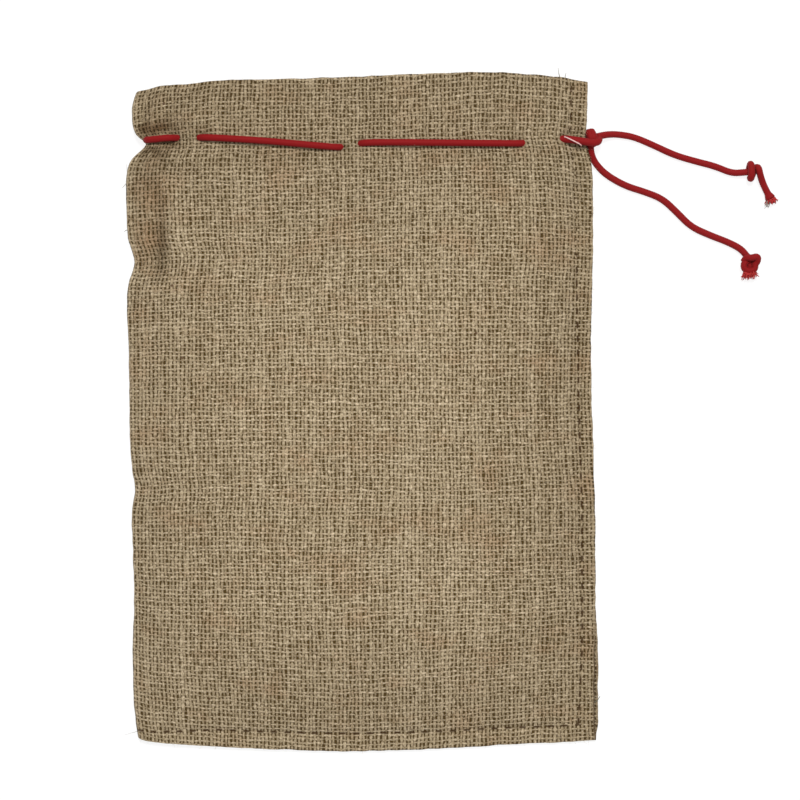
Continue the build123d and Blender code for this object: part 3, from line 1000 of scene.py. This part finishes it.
looseMake = {
    "seed": 5,
    "ends": (                    # where each starts and ends, and its radius, in millimetres
        ((103.3, 172.4, 5.2), (100.7, 177.9, 4.6), 0.26),
        ((105.5, 172.8, 5.0), (104.1, 175.9, 5.4), 0.26),
        ((-115.6, -165.9, 1.6), (-122.2, -168.2, 0.6), 0.14),
        ((-121.8, 119.2, 3.0), (-125.0, 126.6, 2.6), 0.26),
        ((-122.0, 121.0, 3.0), (-125.6, 118.4, 2.4), 0.22),
        ((-121.8, 95.0, 3.0), (-125.2, 96.4, 2.4), 0.26),
        ((120.4, -151.4, 2.0), (124.6, -150.0, 1.6), 0.32),
    ),
}


def threadEnds(setup=looseMake):
    # cut ends of the sewing thread at the mouth, and long fibres at the fold and the lower corners
    draw = random.Random(setup["seed"])
    bm = bmesh.new()
    for start, end, radius in setup["ends"]:
        start, way = Vector(start) * mm, Vector(end) - Vector(start)
        addFibre(bm, start, way.normalized(), way.length, radius * mm, draw)
    return finishMesh("loose_thread_ends", bm)


print("fluff")
fluff, looseEnds = makeFluff(), threadEnds()
put(fluff, threadMaterial("jute_fibre", srgb(150, 136, 108), srgb(226, 212, 184)))
put(looseEnds, threadMaterial("loose_fibre", srgb(96, 90, 70), srgb(150, 142, 118)))

# What each piece rides on

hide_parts("front_panel", "back_panel", "front_hem", "back_hem", "side_allowance_front",
            "side_allowance_back", "bottom_allowance_front", "bottom_allowance_back")
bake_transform(cloth)
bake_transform(fluff)
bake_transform(looseEnds)
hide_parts("neck_cord")
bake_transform(neckCord)
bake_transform(frontLeadCord)
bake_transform(backLeadCord)
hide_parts("neck_knot")
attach(neckKnot, "drawcord")
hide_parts("upper_tail_root", "upper_tail_cord")
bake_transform(upperCord)
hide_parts("lower_tail_root", "lower_tail_cord")
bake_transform(lowerCord)
for piece, node, body in (
    (upperKnot, "upper_end_knot", "upper_tail"), (stubCord, "upper_cord_end", "upper_tail"),
    (upperFray, "upper_end_fray", "upper_tail"), (upperCore, "upper_end_fray", "upper_tail"),
    (lowerKnot, "lower_end_knot", "lower_tail"), (lowerFray, "lower_end_fray", "lower_tail"),
    (lowerCore, "lower_end_fray", "lower_tail"),
):
    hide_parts(node)
    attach(piece, body)
lengthOf(upperLine)
evenly(upperLine, 1 * mm)
lengthOf(lowerLine)
evenly(lowerLine, 1 * mm)

# Floor and light


stageMake = {
    "size": 3.0,
    "grey": 0.18, "glow": 0.86,  # the floor, lit a little by itself so that it stays pale
    "sky": 0.36,
    "lights": (                  # name, place, side of the square, watts
        ("key", (0.15, 1.15, 2.4), 0.6, 49.0),
        ("fill", (0.4, -0.5, 1.2), 0.9, 1.2),
    ),
}


def makeStage(setup=stageMake):
    bm = bmesh.new()
    bmesh.ops.create_grid(bm, x_segments=1, y_segments=1, size=setup["size"])
    floor = finishMesh("floor", bm)
    material = bpy.data.materials.new("white_floor")
    material.use_nodes = True
    shader = material.node_tree.nodes["Principled BSDF"]
    shader.inputs["Base Color"].default_value = (setup["grey"], setup["grey"], setup["grey"], 1)
    shader.inputs["Roughness"].default_value = 0.9
    shader.inputs["Emission Color"].default_value = (1, 1, 1, 1)
    shader.inputs["Emission Strength"].default_value = setup["glow"]
    floor.data.materials.append(material)
    world = bpy.data.worlds.new("studio")
    bpy.context.scene.world = world
    world.use_nodes = True
    sky = world.node_tree.nodes["Background"]
    sky.inputs[0].default_value = (1, 1, 1, 1)
    sky.inputs[1].default_value = setup["sky"]
    for name, place, size, power in setup["lights"]:
        light = bpy.data.lights.new(name, "AREA")
        light.size, light.energy = size, power
        lamp = addObject(name, light)
        lamp.location = place
        lamp.rotation_mode = "QUATERNION"
        lamp.rotation_quaternion = (Vector((0, 0, 0)) - Vector(place)).to_track_quat("-Z", "Y")
    bpy.context.scene.view_settings.view_transform = "Standard"


makeStage()
